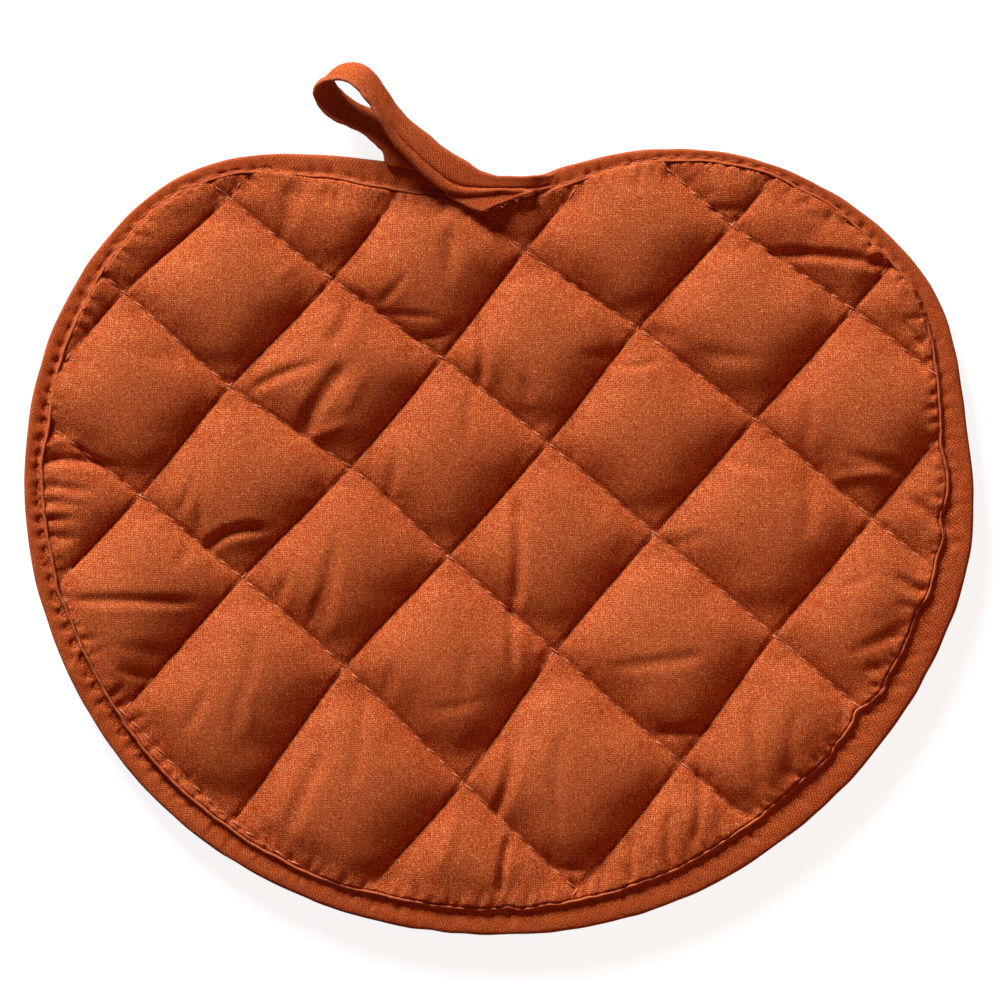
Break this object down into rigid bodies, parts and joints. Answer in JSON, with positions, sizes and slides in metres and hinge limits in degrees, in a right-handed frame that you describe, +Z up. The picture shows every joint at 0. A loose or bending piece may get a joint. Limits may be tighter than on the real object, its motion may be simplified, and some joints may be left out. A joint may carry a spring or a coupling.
{
  "type": "pot holder",
  "caption": "Quilted cotton pot holder in a squat pumpkin shape, with bias-bound edge and a hanging loop, lying face up.",
  "frame": {"origin": "on the surface it lies on, under the middle of the whole outline, loop included", "axes": "+X along the widest way, +Y towards the hanging loop, +Z up out of the quilted face"},
  "size_m": [0.2279, 0.2093, 0.0158],
  "materials": {
    "quilted_cotton": "matt plain-weave cotton in burnt orange, quilted with orange thread",
    "bias_tape": "matt plain-weave cotton in burnt orange, cut on the bias and topstitched"
  },
  "bodies": {
    "root": {"quilted_pad": "quilted_cotton", "edge_binding": "bias_tape", "hanging_loop": "bias_tape"}
  },
  "joints": []
}
